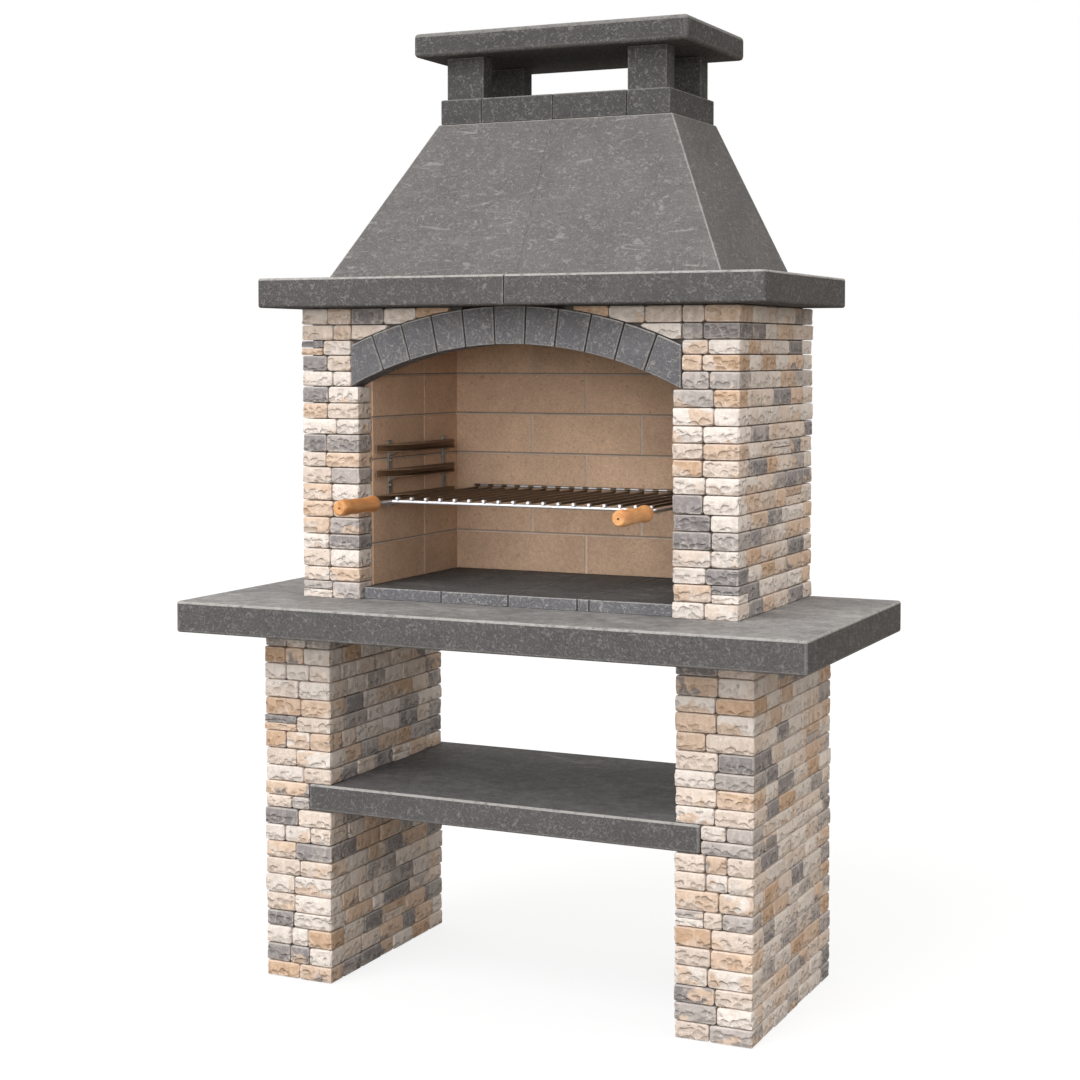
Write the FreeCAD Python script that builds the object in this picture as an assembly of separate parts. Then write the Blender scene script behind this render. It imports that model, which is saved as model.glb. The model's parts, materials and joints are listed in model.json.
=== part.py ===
import FreeCAD, Part
import math
import os

from FreeCAD import Vector

# Masonry barbecue in millimetres: X across, Y towards the back, Z up.
# The origin is on the floor, under the middle of the overall box.

# Legs and lower shelf
leg_height = 827.0
leg_width = 180.0
leg_depth = 558.0
leg_gap = 858.0
shelf_top = 470.0
shelf_thickness = 64.0
shelf_housing = 58.0
shelf_rear_overhang = 27.0

# Worktop
worktop_thickness = 73.0
worktop_side_overhang = 156.0
worktop_front_overhang = 131.0
worktop_rear_overhang = 37.0
slab_edge_radius = 6.0
slab_joint = 2.0

# Upper pillars
pillar_height = 683.0
pillar_width = 155.0
pillar_depth = 521.0
pillar_gap = 784.0

# Stone strips
strip_thickness = 20.0
strip_joint = 2.0
strip_set_back = 3.0
strip_length = 92.0
strip_min_length = 42.0
corner_arm_short = 52.0
corner_arm_long = 96.0
strip_length_share = 0.55
course_height_share = 0.15
split_share = 0.025
run_number_count = 40
below_shelf_course_count = 10
beside_shelf_course_count = 2
above_shelf_course_count = 9
below_arch_course_count = 13
beside_arch_course_count = 5

# Arch
arch_rise = 97.0
arch_ring_depth = 86.0
arch_thickness = 64.0
voussoir_count = 11
voussoir_joint = 3.0
curved_gap = 0.3
spandrel_tip = 8.0

# Hearth and firebrick lining
hearth_thickness = 28.0
hearth_set_back = 20.0
hearth_middle_tile = 172.0
hearth_filler = 29.0
brick_height = 94.0
brick_joint = 6.0
side_brick_thickness = 22.0
side_front_brick = 250.0
back_brick_thickness = 15.0
back_brick_length = 290.0
back_bond_shift = -29.0
rear_plate_thickness = 12.0
rear_panel_count = 3
mortar_set_back = 2.0

# Mantel and hood
mantel_thickness = 69.0
mantel_side_overhang = 78.0
mantel_front_overhang = 67.0
mantel_joint_offset = 18.0
throat_ledge = 12.0
hood_side_ledge = 132.0
hood_front_ledge = 100.0
hood_height = 372.0
hood_top_length = 601.0
hood_top_depth = 290.0
hood_wall = 40.0
hood_seam = 0.5

# Chimney collar and cap
collar_height = 59.0
collar_wall = 62.0
collar_side_step = 5.5
collar_corner = 108.0
collar_joint = 1.0
post_width = 98.0
post_depth = 50.0
post_height = 100.0
post_side_inset = 12.0
post_end_inset = 10.0
cap_thickness = 57.0
cap_side_overhang = 55.0
cap_front_overhang = 35.0
cap_rear_overhang = 61.0
cap_edge_radius = 12.0

# Grate rails
rail_level_count = 3
rail_pitch = 60.0
rail_first_height = 194.0
rail_height = 18.0
rail_depth = 52.0
rail_wall = 2.0
rail_front_set_back = 5.0
rail_front_slant = 92.0
rail_rear_gap = 30.0
rail_rear_slant = 92.0
upright_width = 20.0
upright_thickness = 5.0
upright_front_inset = 74.0
upright_rear_inset = 78.0
upright_overrun = 9.0
bracket_width = 14.0
bracket_height = 11.0
bracket_reach = 24.0
screw_head_diameter = 10.0
screw_head_height = 3.5

# Grate and handles
rod_diameter = 8.0
rod_inset = 3.5
rod_overrun = 9.0
bar_diameter = 7.0
bar_count = 18
bar_overrun = 7.0
bar_rear_overrun = 3.0
weld_gap = 0.2
grate_set_back = 62.0
grate_rear_gap = 24.0
handle_length = 165.0
handle_diameter = 38.0
handle_waist = 32.0
handle_neck = 34.0
handle_stem = 74.0
tang_length = 118.0
end_hole_diameter = 5.0
end_hole_depth = 14.0

# Levels and planes that follow from the sizes
shelf_underside = shelf_top - shelf_thickness
worktop_top = leg_height + worktop_thickness
hearth_top = worktop_top + hearth_thickness
mantel_underside = worktop_top + pillar_height
mantel_top = mantel_underside + mantel_thickness
hood_top = mantel_top + hood_height
collar_top = hood_top + collar_height
cap_underside = collar_top + post_height

worktop_depth = worktop_front_overhang + leg_depth + worktop_rear_overhang
worktop_half = leg_gap / 2 + leg_width + worktop_side_overhang
worktop_front = -(worktop_depth + cap_rear_overhang) / 2
rear_plane = worktop_front + worktop_depth
leg_front = worktop_front + worktop_front_overhang
leg_back = leg_front + leg_depth

pillar_inner = pillar_gap / 2
pillar_outer = pillar_inner + pillar_width
pillar_front = rear_plane - pillar_depth
core_inner = pillar_inner + strip_thickness
arch_back = pillar_front + arch_thickness
side_face = core_inner - side_brick_thickness
back_face = rear_plane - rear_plate_thickness - back_brick_thickness

springing = mantel_underside - arch_ring_depth - arch_rise
arch_inner_radius = (core_inner ** 2 + arch_rise ** 2) / (2 * arch_rise)
arch_outer_radius = arch_inner_radius + arch_ring_depth
arch_centre = springing + arch_rise - arch_inner_radius

mantel_half = pillar_outer + mantel_side_overhang
mantel_front = pillar_front - mantel_front_overhang
hood_half = mantel_half - hood_side_ledge
hood_front = mantel_front + hood_front_ledge
hood_top_half = hood_top_length / 2
hood_top_front = rear_plane - hood_top_depth
collar_half = hood_top_half - collar_side_step

upright_face = side_face - upright_thickness
rail_tip = upright_face - rail_depth
rail_front = arch_back + rail_front_set_back
rail_back = back_face - rail_rear_gap
rail_first = hearth_top + rail_first_height
rod_radius = rod_diameter / 2
side_rod_x = rail_tip + rod_inset + rod_radius
rod_z = rail_first + rail_wall + curved_gap + rod_radius
front_rod_y = pillar_front + grate_set_back
back_rod_y = back_face - grate_rear_gap
handle_back = front_rod_y - handle_stem

nodes = {}


def add(name, *shapes):
    nodes.setdefault(name, []).extend(shapes)


def box(x0, x1, y0, y1, z0, z1):
    low = Vector(min(x0, x1), y0, z0)
    return Part.makeBox(abs(x1 - x0), y1 - y0, z1 - z0, low)


def soft_slab(x0, x1, y0, y1, z0, z1, radius):
    slab = box(x0, x1, y0, y1, z0, z1)
    return slab.makeFillet(radius, slab.Edges)


def rod(start, direction, length, diameter):
    return Part.makeCylinder(diameter / 2, length, start, direction)


def vary(seed, row, place):
    """A fixed, uneven number from 0 to 1 for one stone."""
    wave = math.sin(seed * 12.9898 + row * 78.233 + place * 37.719)
    return math.modf(abs(wave) * 43758.5453)[0]


def sides():
    return (("left", -1), ("right", 1))


# Stone strips

def course_levels(bottom, top, count, seed):
    """Lower and upper bed of each course, a joint apart."""
    pitch = (top - bottom) / count
    marks = []
    for k in range(count + 1):
        shift = course_height_share * (vary(seed, k, 1) - 0.5)
        inside = 0 < k < count
        marks.append(bottom + pitch * (k + (shift if inside else 0)))
    return [(marks[k], marks[k + 1] - strip_joint) for k in range(count)]


def plan_solid(points, z0, z1):
    corners = [Vector(x, y, z0) for x, y in points]
    face = Part.Face(Part.makePolygon(corners + corners[:1]))
    return face.extrude(Vector(0, 0, z1 - z0))


def stack(points, z0, z1, chance):
    """One stone, or now and then two thin ones in its place."""
    if chance > split_share:
        return [plan_solid(points, z0, z1)]
    middle = (z0 + z1) / 2
    lower = plan_solid(points, z0, middle - strip_joint / 2)
    upper = plan_solid(points, middle + strip_joint / 2, z1)
    return [lower, upper]


class Side:
    """One straight run of a course: its start, direction and outward normal in plan."""

    def __init__(self, start, end):
        self.start = start
        self.length = math.dist(start, end)
        self.along = ((end[0] - start[0]) / self.length, (end[1] - start[1]) / self.length)
        self.out = (self.along[1], -self.along[0])

    def point(self, distance, depth):
        x = self.start[0] + self.along[0] * distance - self.out[0] * depth
        y = self.start[1] + self.along[1] * distance - self.out[1] * depth
        return (x, y)


def run_joints(length, wraps_start, wraps_end, seed, row, number):
    """Distances of the joints along a side, keeping an arm of stone at each wrapped corner."""
    spread = corner_arm_long - corner_arm_short
    first = corner_arm_short + spread * vary(seed, row, number + 11) if wraps_start else 0.0
    last = length
    if wraps_end:
        last = length - corner_arm_short - spread * vary(seed, row, number + 12)
    if last - first < strip_min_length:
        if wraps_start and wraps_end:
            return [(first + last) / 2]
        return []
    count = max(1, round((last - first) / strip_length))
    pitch = (last - first) / count
    joints = [first] if wraps_start else []
    for k in range(1, count):
        shift = strip_length_share * (vary(seed, row, number + 20 + k) - 0.5)
        joints.append(first + pitch * (k + shift))
    return joints + ([last] if wraps_end else [])


def lay_course(path, closed, z0, z1, seed, row):
    """Stones along a path in plan; a stone that meets a corner of the path wraps round it."""
    ends = path[1:] + path[:1] if closed else path[1:]
    runs = [Side(start, end) for start, end in zip(path, ends)]
    half = strip_joint / 2
    stones = []
    joints = []
    for k, run in enumerate(runs):
        wraps_start = closed or k > 0
        wraps_end = closed or k < len(runs) - 1
        joints.append(run_joints(run.length, wraps_start, wraps_end, seed, row, run_number_count * k))
    for k, run in enumerate(runs):
        marks = list(joints[k])
        if not closed and k == 0:
            marks = [-half] + marks
        if not closed and k == len(runs) - 1:
            marks = marks + [run.length + half]
        for j in range(len(marks) - 1):
            a = marks[j] + half
            b = marks[j + 1] - half
            face = strip_set_back * vary(seed, row, run_number_count * k + j + 5)
            plan = [run.point(a, face), run.point(b, face)]
            plan += [run.point(b, strip_thickness), run.point(a, strip_thickness)]
            stones += stack(plan, z0, z1, vary(seed, row, run_number_count * k + j + 7))
    corners = range(len(runs)) if closed else range(1, len(runs))
    for k in corners:
        before = runs[k - 1]
        after = runs[k]
        a = joints[k - 1][-1] + half if joints[k - 1] else 0.0
        b = joints[k][0] - half if joints[k] else after.length
        t = strip_thickness
        face = strip_set_back * vary(seed, row, run_number_count * k + 9)
        corner = before.point(before.length - face, face)
        inner = before.point(before.length - t, t)
        plan = [before.point(a, face), corner, after.point(b, face)]
        plan += [after.point(b, t), inner, before.point(a, t)]
        stones += stack(plan, z0, z1, vary(seed, row, run_number_count * k + 3))
    return stones


def outline(x0, x1, y0, y1):
    return [(x0, y0), (x1, y0), (x1, y1), (x0, y1)]


def turned(points, side):
    """A path of the right-hand side, mirrored for the left and kept in the same turning sense."""
    if side > 0:
        return points
    return [(-x, y) for x, y in reversed(points)]


# Legs, shelf and worktop

def make_legs():
    inner = leg_gap / 2
    outer = inner + leg_width
    ring = outline(inner, outer, leg_front, leg_back)
    notch = inner + shelf_housing + strip_joint
    beside = [(notch, leg_front), (outer, leg_front), (outer, leg_back), (notch, leg_back)]
    bands = (
        (0.0, shelf_underside, below_shelf_course_count, ring, True),
        (shelf_underside, shelf_top, beside_shelf_course_count, beside, False),
        (shelf_top, leg_height, above_shelf_course_count, ring, True),
    )
    for name, side in sides():
        row = 0
        for bottom, top, count, path, closed in bands:
            for z0, z1 in course_levels(bottom, top, count, side + 4):
                stones = lay_course(turned(path, side), closed, z0, z1, side + 2, row)
                add(name + "_leg_stones", *stones)
                row += 1
        x0 = side * (inner + strip_thickness)
        x1 = side * (outer - strip_thickness)
        neck = side * (inner + max(shelf_housing, strip_thickness))
        y0 = leg_front + strip_thickness
        y1 = leg_back - strip_thickness
        add(name + "_leg_core", box(x0, x1, y0, y1, 0, shelf_underside))
        add(name + "_leg_core", box(neck, x1, y0, y1, shelf_underside, shelf_top))
        add(name + "_leg_core", box(x0, x1, y0, y1, shelf_top, leg_height))


def make_slabs():
    half = leg_gap / 2 + shelf_housing
    shelf_back = leg_back + shelf_rear_overhang
    radius = slab_edge_radius
    add("lower_shelf", soft_slab(-half, half, leg_front, shelf_back, shelf_underside, shelf_top, radius))
    add("worktop", soft_slab(-worktop_half, worktop_half, worktop_front, rear_plane,
                             leg_height, worktop_top, radius))


# Pillars and arch

def pillar_levels(side):
    lower = course_levels(worktop_top, springing, below_arch_course_count, side + 7)
    upper = course_levels(springing, mantel_underside, beside_arch_course_count, side + 9)
    return lower, upper


def make_pillars():
    below = [(pillar_inner, arch_back)] + outline(pillar_inner, pillar_outer, pillar_front, rear_plane)
    arch_end = core_inner + strip_joint
    beside = [(arch_end, pillar_front)] + outline(pillar_inner, pillar_outer, pillar_front, rear_plane)[1:]
    for name, side in sides():
        lower, upper = pillar_levels(side)
        for row, (z0, z1) in enumerate(lower):
            add(name + "_pillar_stones", *lay_course(turned(below, side), False, z0, z1, side + 12, row))
        for row, (z0, z1) in enumerate(upper):
            add(name + "_pillar_stones", *lay_course(turned(beside, side), False, z0, z1, side + 15, row))
        x0 = side * core_inner
        x1 = side * (pillar_outer - strip_thickness)
        y0 = pillar_front + strip_thickness
        y1 = rear_plane - strip_thickness
        add(name + "_pillar_core", box(x0, x1, y0, y1, worktop_top, springing))
        add(name + "_pillar_core", box(x0, x1, y0, y1, springing, mantel_underside))


def arch_point(radius, angle, y):
    return Vector(radius * math.sin(angle), y, arch_centre + radius * math.cos(angle))


def voussoir(low, high):
    """A block of the ring between two angles from the crown."""
    middle = (low + high) / 2
    y = pillar_front
    inside = [arch_point(arch_inner_radius, a, y) for a in (low, middle, high)]
    outside = [arch_point(arch_outer_radius, a, y) for a in (high, middle, low)]
    edges = [
        Part.Arc(*inside).toShape(),
        Part.LineSegment(inside[2], outside[0]).toShape(),
        Part.Arc(*outside).toShape(),
        Part.LineSegment(outside[2], inside[0]).toShape(),
    ]
    return Part.Face(Part.Wire(edges)).extrude(Vector(0, arch_thickness, 0))


def make_arch():
    middle_radius = (arch_inner_radius + arch_outer_radius) / 2
    reach = math.asin(core_inner / middle_radius)
    pitch = 2 * reach / voussoir_count
    half_joint = voussoir_joint / 2 / middle_radius
    between = box(-core_inner, core_inner, pillar_front, arch_back, springing, mantel_underside)
    for k in range(voussoir_count):
        low = -reach + k * pitch + half_joint
        high = low + pitch - 2 * half_joint
        if k == 0:
            low -= pitch
        if k == voussoir_count - 1:
            high += pitch
        add("voussoir_%02d" % (k + 1), voussoir(low, high).common(between))


def above_arch(shape, gap):
    """What is left of a shape above the ring's back and a gap."""
    start = Vector(0, pillar_front - 1, arch_centre)
    disc = Part.makeCylinder(arch_outer_radius + gap, arch_thickness + 2, start, Vector(0, 1, 0))
    return shape.cut(disc)


def tip_of(top, gap):
    """Distance from the middle at which a course over the ring runs out."""
    height = top - spandrel_tip - arch_centre
    radius = arch_outer_radius + gap
    return math.sqrt(radius ** 2 - height ** 2) if height < radius else 0.0


def make_spandrels():
    strip_back = pillar_front + strip_thickness
    for name, side in sides():
        tip = tip_of(mantel_underside, curved_gap)
        block = box(side * tip, side * core_inner, strip_back, arch_back, springing, mantel_underside)
        add(name + "_spandrel_block", above_arch(block, curved_gap))
        for row, (z0, z1) in enumerate(pillar_levels(side)[1]):
            tip = tip_of(z1, strip_joint)
            length = core_inner - tip
            if length < strip_min_length:
                continue
            count = max(1, round(length / strip_length))
            for k in range(count):
                x0 = side * (tip + k * length / count + strip_joint / 2)
                x1 = side * (tip + (k + 1) * length / count - strip_joint / 2)
                face = pillar_front + strip_set_back * vary(side + 18, row, k)
                stone = box(x0, x1, face, strip_back, z0, z1)
                add(name + "_spandrel_stones", above_arch(stone, strip_joint))


# Hearth and firebrick lining

def make_hearth():
    outer = (pillar_gap - 2 * hearth_middle_tile - hearth_filler) / 2
    widths = (
        ("hearth_tile_1", outer),
        ("hearth_tile_2", hearth_middle_tile),
        ("hearth_tile_3", hearth_middle_tile),
        ("hearth_filler_strip", hearth_filler),
        ("hearth_tile_4", outer),
    )
    x = -pillar_inner
    front = pillar_front + hearth_set_back
    for name, width in widths:
        a = x + slab_joint / 2
        b = x + width - slab_joint / 2
        add(name, box(a, b, front, back_face, worktop_top, hearth_top))
        x += width


def brick_rows():
    rows = []
    z = hearth_top
    while z < mantel_underside - brick_joint:
        rows.append((z, min(z + brick_height, mantel_underside)))
        z += brick_height + brick_joint
    return rows


def lay_bricks(name, splits, reach, at):
    """Rows of bricks with mortar in the joints; splits gives a row's joint places along the wall."""
    half = brick_joint / 2
    for row, (z0, z1) in enumerate(brick_rows()):
        marks = [reach[0] - half] + splits(row) + [reach[1] + half]
        for a, b in zip(marks, marks[1:]):
            add(name + "_firebricks", at(a + half, b - half, z0, z1, 0))
        for mark in splits(row):
            add(name + "_mortar", at(mark - half, mark + half, z0, z1, mortar_set_back))
        bed = min(z1 + brick_joint, mantel_underside)
        if bed > z1:
            add(name + "_mortar", at(reach[0], reach[1], z1, bed, mortar_set_back))


def make_lining():
    def back_splits(row):
        pitch = back_brick_length + brick_joint
        first = back_bond_shift - pitch / 2 * (row % 2)
        return [first, first + pitch]

    def back_block(a, b, z0, z1, set_back):
        return box(a, b, back_face + set_back, back_face + back_brick_thickness, z0, z1)

    lay_bricks("back", back_splits, (-pillar_inner, pillar_inner), back_block)

    def side_splits(row):
        return [arch_back + side_front_brick + brick_joint / 2]

    for name, side in sides():
        def side_block(a, b, z0, z1, set_back, side=side):
            return box(side * (side_face + set_back), side * core_inner, a, b, z0, z1)

        lay_bricks(name, side_splits, (arch_back, back_face), side_block)
    plate_front = rear_plane - rear_plate_thickness
    pitch = (mantel_underside - worktop_top + slab_joint) / rear_panel_count
    for k in range(rear_panel_count):
        z = worktop_top + k * pitch
        panel = box(-pillar_inner, pillar_inner, plate_front, rear_plane, z, z + pitch - slab_joint)
        add("rear_plate", panel)


# Mantel, hood, collar and cap

def make_mantel():
    slab = soft_slab(-mantel_half, mantel_half, mantel_front, rear_plane, mantel_underside, mantel_top,
                     slab_edge_radius)
    x = side_face - throat_ledge
    y0 = arch_back + throat_ledge
    y1 = back_face - throat_ledge
    slab = slab.cut(box(-x, x, y0, y1, mantel_underside, mantel_top))
    joint = mantel_joint_offset
    left = box(-mantel_half, joint - slab_joint / 2, mantel_front, rear_plane, mantel_underside, mantel_top)
    right = box(joint + slab_joint / 2, mantel_half, mantel_front, rear_plane, mantel_underside, mantel_top)
    add("mantel_left", slab.common(left))
    add("mantel_right", slab.common(right))


def rectangle(half, y0, y1, z):
    corners = [Vector(x, y, z) for x, y in outline(-half, half, y0, y1)]
    return Part.makePolygon(corners + corners[:1])


def tapered(wall):
    low = rectangle(hood_half - wall, hood_front + wall, rear_plane - wall, mantel_top)
    high = rectangle(hood_top_half - wall, hood_top_front + wall, rear_plane - wall, hood_top)
    return Part.makeLoft([low, high], True, True)


def make_hood():
    shell = tapered(0.0).cut(tapered(hood_wall))
    for name, side in sides():
        part = box(side * hood_seam / 2, side * hood_half, hood_front, rear_plane, mantel_top, hood_top)
        add("hood_" + name, shell.common(part))


def make_collar():
    front = hood_top_front
    inner = collar_half - collar_wall
    corner = collar_half - collar_corner
    gap = collar_joint / 2
    flue = box(-inner, inner, front + collar_wall, rear_plane - collar_wall, hood_top, collar_top)
    for name, side in sides():
        end = box(side * (corner + gap), side * collar_half, front, rear_plane, hood_top, collar_top)
        add("collar_%s_end" % name, end.cut(flue))
        x0 = side * gap
        x1 = side * (corner - gap)
        add("collar_front_blocks", box(x0, x1, front, front + collar_wall, hood_top, collar_top))
        add("collar_rear_blocks", box(x0, x1, rear_plane - collar_wall, rear_plane, hood_top, collar_top))
        x1 = side * (collar_half - post_side_inset)
        x0 = x1 - side * post_width
        y = front + post_end_inset
        add("cap_post_front_" + name, box(x0, x1, y, y + post_depth, collar_top, cap_underside))
        y = rear_plane - post_end_inset
        add("cap_post_rear_" + name, box(x0, x1, y - post_depth, y, collar_top, cap_underside))
    half = collar_half + cap_side_overhang
    add("cap_slab", soft_slab(-half, half, front - cap_front_overhang, rear_plane + cap_rear_overhang,
                              cap_underside, cap_underside + cap_thickness, cap_edge_radius))


# Rails, grate and handles

def channel(side, z):
    """A rail open towards the middle of the firebox, its flanges cut back at a slant at both ends."""
    web = upright_face
    inside = upright_face - rail_wall
    top = z + rail_height
    profile = [(rail_tip, z), (web, z), (web, top), (rail_tip, top), (rail_tip, top - rail_wall),
               (inside, top - rail_wall), (inside, z + rail_wall), (rail_tip, z + rail_wall)]
    corners = [Vector(side * x, rail_front, height) for x, height in profile]
    face = Part.Face(Part.makePolygon(corners + corners[:1]))
    rail = face.extrude(Vector(0, rail_back - rail_front, 0))
    for end, slant in ((rail_front, rail_front_slant), (rail_back, -rail_rear_slant)):
        outline = [(rail_tip, end), (rail_tip, end + slant), (inside, end)]
        corners = [Vector(side * x, y, z) for x, y in outline]
        wedge = Part.Face(Part.makePolygon(corners + corners[:1]))
        rail = rail.cut(wedge.extrude(Vector(0, 0, rail_height)))
    return rail


def screw(side, y, z):
    head = rod(Vector(side * upright_face, y, z), Vector(-side, 0, 0), screw_head_height, screw_head_diameter)
    rim = [e for e in head.Edges if abs(e.CenterOfMass.x) < upright_face - screw_head_height / 2]
    rim = [e for e in rim if e.Closed]
    return head.makeFillet(screw_head_height / 2, rim)


def bracket(side, y, z):
    """A small gusset that carries a rail from below."""
    profile = [(upright_face, z), (upright_face - bracket_reach, z), (upright_face, z - bracket_height)]
    corners = [Vector(side * x, y - bracket_width / 2, height) for x, height in profile]
    face = Part.Face(Part.makePolygon(corners + corners[:1]))
    return face.extrude(Vector(0, bracket_width, 0))


def make_rails():
    low = rail_first - bracket_height
    high = rail_first + (rail_level_count - 1) * rail_pitch + rail_height + upright_overrun
    places = (arch_back + upright_front_inset, back_face - upright_rear_inset)
    for name, side in sides():
        for level in range(rail_level_count):
            add(name + "_rails", channel(side, rail_first + level * rail_pitch))
        for y in places:
            y0 = y - upright_width / 2
            y1 = y0 + upright_width
            add("rail_uprights", box(side * side_face, side * upright_face, y0, y1, low, high))
            for level in range(rail_level_count):
                z = rail_first + level * rail_pitch
                add("rail_uprights", bracket(side, y, z))
                if level > 0:
                    add("rail_screws", screw(side, y, z - (rail_pitch - rail_height) / 2))


def make_grate():
    back_end = back_rod_y + rod_overrun
    tang_end = handle_back - tang_length + curved_gap
    forward = Vector(0, 1, 0)
    for side in (-1, 1):
        start = Vector(side * side_rod_x, tang_end, rod_z)
        add("grate_side_rods", rod(start, forward, back_end - tang_end, rod_diameter))
    reach = side_rod_x - rod_radius - weld_gap
    for y in (front_rod_y, back_rod_y):
        add("grate_cross_rods", rod(Vector(-reach, y, rod_z), Vector(1, 0, 0), 2 * reach, rod_diameter))
    pitch = 2 * side_rod_x / bar_count
    bar_z = rod_z + rod_radius + weld_gap + bar_diameter / 2
    bar_length = back_rod_y - front_rod_y + bar_overrun + bar_rear_overrun
    for k in range(bar_count):
        start = Vector((k + 0.5) * pitch - side_rod_x, front_rod_y - bar_overrun, bar_z)
        add("grate_bars", rod(start, forward, bar_length, bar_diameter))
    stop_reach = side_rod_x - pitch / 2 + bar_diameter
    stop_start = Vector(-stop_reach, back_rod_y, bar_z + bar_diameter + weld_gap)
    add("grate_cross_rods", rod(stop_start, Vector(1, 0, 0), 2 * stop_reach, bar_diameter))


def handle_profile():
    """Radius of the turned handle along its length, from the hand end to the stem."""
    full = handle_diameter / 2
    return (
        (0.00, 0.72 * full),
        (0.03, 0.90 * full),
        (0.09, 0.98 * full),
        (0.15, full),
        (0.26, handle_neck / 2),
        (0.38, 0.94 * full),
        (0.64, handle_waist / 2),
        (0.82, 0.97 * full),
        (0.89, full),
        (0.97, 0.88 * full),
        (1.00, 0.68 * full),
    )


def make_handles():
    hand_end = handle_back - handle_length
    curve = Part.BSplineCurve()
    curve.interpolate([Vector(r, hand_end + f * handle_length, 0) for f, r in handle_profile()])
    side_edge = curve.toShape()
    first = side_edge.Vertexes[0].Point
    last = side_edge.Vertexes[-1].Point
    axis_start = Vector(0, first.y, 0)
    axis_end = Vector(0, last.y, 0)
    lines = [Part.LineSegment(last, axis_end), Part.LineSegment(axis_end, axis_start),
             Part.LineSegment(axis_start, first)]
    wire = Part.Wire([side_edge] + [line.toShape() for line in lines])
    turning = Part.Face(wire).revolve(Vector(0, 0, 0), Vector(0, 1, 0), 360)
    bore = rod(Vector(0, handle_back - tang_length, 0), Vector(0, 1, 0), tang_length,
               rod_diameter + 2 * curved_gap)
    hole = rod(Vector(0, hand_end, 0), Vector(0, 1, 0), end_hole_depth, end_hole_diameter)
    turning = turning.cut(bore).cut(hole)
    for name, side in sides():
        handle = turning.copy()
        handle.translate(Vector(side * side_rod_x, 0, rod_z))
        add(name + "_handle", handle)


def export():
    os.makedirs("parts", exist_ok=True)
    for name, shapes in nodes.items():
        shape = shapes[0] if len(shapes) == 1 else Part.makeCompound(shapes)
        shape.exportStep("parts/%s.step" % name)


make_legs()
make_slabs()
make_pillars()
make_arch()
make_spandrels()
make_hearth()
make_lining()
make_mantel()
make_hood()
make_collar()
make_rails()
make_grate()
make_handles()
export()
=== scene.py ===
"""Masonry barbecue: stone strips, castings, brick lining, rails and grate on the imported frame."""

import json
import math
import random

import bmesh
import bpy
from bpy.props import FloatProperty, FloatVectorProperty, IntProperty, PointerProperty
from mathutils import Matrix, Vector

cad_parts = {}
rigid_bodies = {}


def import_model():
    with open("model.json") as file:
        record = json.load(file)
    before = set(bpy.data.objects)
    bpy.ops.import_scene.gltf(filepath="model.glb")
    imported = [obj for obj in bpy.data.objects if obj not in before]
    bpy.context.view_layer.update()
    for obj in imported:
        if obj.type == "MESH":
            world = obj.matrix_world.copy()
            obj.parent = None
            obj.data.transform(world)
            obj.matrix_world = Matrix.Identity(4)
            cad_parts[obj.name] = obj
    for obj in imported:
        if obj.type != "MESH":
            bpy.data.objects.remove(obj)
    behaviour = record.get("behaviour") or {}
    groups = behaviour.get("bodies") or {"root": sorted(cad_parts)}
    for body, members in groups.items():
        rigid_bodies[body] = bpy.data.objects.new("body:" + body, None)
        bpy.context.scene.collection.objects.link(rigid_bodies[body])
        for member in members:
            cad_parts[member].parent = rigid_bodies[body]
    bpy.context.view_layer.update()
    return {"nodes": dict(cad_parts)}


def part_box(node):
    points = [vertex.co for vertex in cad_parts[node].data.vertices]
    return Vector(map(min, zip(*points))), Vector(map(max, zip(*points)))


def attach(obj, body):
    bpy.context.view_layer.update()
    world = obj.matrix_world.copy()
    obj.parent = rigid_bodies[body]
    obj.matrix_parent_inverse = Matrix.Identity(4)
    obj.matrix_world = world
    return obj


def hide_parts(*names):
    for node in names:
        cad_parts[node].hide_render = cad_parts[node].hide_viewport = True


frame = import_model()

bl_info = {
    "name": "Masonry Barbecue",
    "version": (1, 0, 0),
    "blender": (4, 5, 0),
    "location": "View3D > Sidebar > Barbecue",
    "description": "Dresses a stone-clad barbecue with worn concrete, firebrick, steel and wood",
    "category": "Object",
}

# Edges sharper than this are rounded, and faces that differ by less than this are one face
SHARP = math.radians(30)
SAME_SLOPE = math.radians(0.4)
# Points closer than this, in metres, are one point
SAME_POINT = 0.00002
# Rise of a face's normal: worn faces rise more than RISING, slopes that are eased in the solids
# less than NOT_LEVEL, and upper faces more than UPPER
RISING = 0.2
NOT_LEVEL = 0.98
UPPER = 0.9
# Share of a split face's normal that points out of the wall, at least, and rise of a level edge,
# at most
OUTWARD = 0.7
LEVEL = 0.1
# Share of its width that a closed joint keeps
CLOSED = 0.05
# Distance of the floor below the feet, so that the two faces stay apart
FLOOR_DROP = 0.001
# Lamps: name, setting of the strength, and in degrees the spread, the tilt and the turn
LAMPS = (("high_lamp", "key", 40, 42, -20),
         ("low_lamp", "fill", 50, 78, 0),
         ("level_lamp", "front", 14, 87, 24))


def srgb(red, green, blue):
    """A colour as seen on a screen, from 0 to 255, as the linear values that a shader takes."""
    values = []
    for level in (red, green, blue):
        part = level / 255
        values.append(part / 12.92 if part <= 0.04045 else ((part + 0.055) / 1.055) ** 2.4)
    return tuple(values)


def length(name, description, default):
    return FloatProperty(name=name, description=description, default=default, min=0.0,
                         unit="LENGTH")


def angle(name, description, degrees):
    return FloatProperty(name=name, description=description, default=math.radians(degrees),
                         subtype="ANGLE")


def strength(name, description, default):
    return FloatProperty(name=name, description=description, default=default, min=0.0)


def share(name, description, default):
    return FloatProperty(name=name, description=description, default=default, min=0.0, max=1.0,
                         subtype="FACTOR")


def count(name, description, default, most):
    return IntProperty(name=name, description=description, default=default, min=1, max=most)


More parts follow.
